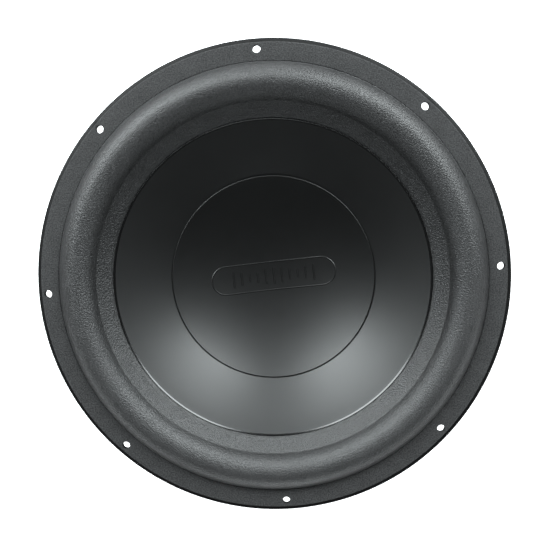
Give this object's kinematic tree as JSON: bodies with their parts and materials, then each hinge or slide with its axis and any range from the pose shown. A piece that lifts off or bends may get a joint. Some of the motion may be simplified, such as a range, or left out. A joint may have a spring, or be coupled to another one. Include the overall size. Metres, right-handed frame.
{
  "type": "car subwoofer speaker",
  "caption": "Round moving-coil car subwoofer driver: pressed basket, ferrite magnet motor in a rubber boot, dished cone, half-roll surround and push terminals.",
  "frame": {"origin": "centre of the magnet boot's bottom face, where the driver rests", "axes": "+Z along the cone's axis, out of the front; +X through terminal block a; two flange holes lie on X and two on Y"},
  "size_m": [0.312, 0.312, 0.1539],
  "materials": {
    "basket_paint": "satin",
    "gasket_foam": "matte",
    "surround_foam": "matte",
    "cone_plastic": "satin",
    "cap_plastic": "satin",
    "boot_rubber": "matte",
    "plated_steel": "satin",
    "screen_steel": "satin",
    "ferrite": "matte",
    "screw_steel": "satin",
    "former_aluminium": "satin",
    "copper_wire": "satin",
    "spider_cloth": "matte",
    "terminal_plastic": "satin",
    "red_plastic": "satin",
    "black_plastic": "satin",
    "spring_steel": "satin",
    "lug_brass": "satin",
    "rivet_aluminium": "satin",
    "tinsel_braid": "satin"
  },
  "bodies": {
    "frame": {"basket": "basket_paint", "front_gasket": "gasket_foam", "magnet_boot": "boot_rubber", "back_plate_with_pole": "plated_steel", "top_plate": "plated_steel", "magnet_lower": "ferrite", "magnet_upper": "ferrite", "vent_screen": "screen_steel", "frame_screw_1": "screw_steel", "frame_screw_2": "screw_steel", "frame_screw_3": "screw_steel", "frame_screw_4": "screw_steel", "frame_screw_5": "screw_steel", "frame_screw_6": "screw_steel", "terminal_block_a": "terminal_plastic", "button_spring_a_positive": "spring_steel", "solder_lug_a_positive": "lug_brass", "block_rivet_a_positive": "rivet_aluminium", "tinsel_lead_a_positive": "tinsel_braid", "button_spring_a_negative": "spring_steel", "solder_lug_a_negative": "lug_brass", "block_rivet_a_negative": "rivet_aluminium", "tinsel_lead_a_negative": "tinsel_braid", "terminal_block_b": "terminal_plastic", "button_spring_b_positive": "spring_steel", "solder_lug_b_positive": "lug_brass", "block_rivet_b_positive": "rivet_aluminium", "tinsel_lead_b_positive": "tinsel_braid", "button_spring_b_negative": "spring_steel", "solder_lug_b_negative": "lug_brass", "block_rivet_b_negative": "rivet_aluminium", "tinsel_lead_b_negative": "tinsel_braid"},
    "cone_assembly": {"cone": "cone_plastic", "dust_cap": "cap_plastic", "coil_former": "former_aluminium", "coil_winding_inner": "copper_wire", "coil_winding_outer": "copper_wire", "surround": "surround_foam", "spider": "spider_cloth"},
    "button_a_positive": {"push_button_a_positive": "red_plastic"},
    "button_a_negative": {"push_button_a_negative": "black_plastic"},
    "button_b_positive": {"push_button_b_positive": "red_plastic"},
    "button_b_negative": {"push_button_b_negative": "black_plastic"}
  },
  "joints": [
    {"name": "cone_travel", "type": "slide", "parent": "frame", "child": "cone_assembly", "axis": [0, 0, 1], "range_m": [-0.012, 0.012], "stiffness_N_per_m": 6000, "deforming": ["surround", "spider", "tinsel_lead_a_positive", "tinsel_lead_a_negative", "tinsel_lead_b_positive", "tinsel_lead_b_negative"]},
    {"name": "press_a_positive", "type": "slide", "parent": "frame", "child": "button_a_positive", "axis": [-1, 0, 0], "range_m": [0, 0.0025], "stiffness_N_per_m": 400, "springref_m": -0.002, "deforming": ["button_spring_a_positive"]},
    {"name": "press_a_negative", "type": "slide", "parent": "frame", "child": "button_a_negative", "axis": [-1, 0, 0], "range_m": [0, 0.0025], "stiffness_N_per_m": 400, "springref_m": -0.002, "deforming": ["button_spring_a_negative"]},
    {"name": "press_b_positive", "type": "slide", "parent": "frame", "child": "button_b_positive", "axis": [1, 0, 0], "range_m": [0, 0.0025], "stiffness_N_per_m": 400, "springref_m": -0.002, "deforming": ["button_spring_b_positive"]},
    {"name": "press_b_negative", "type": "slide", "parent": "frame", "child": "button_b_negative", "axis": [1, 0, 0], "range_m": [0, 0.0025], "stiffness_N_per_m": 400, "springref_m": -0.002, "deforming": ["button_spring_b_negative"]}
  ]
}
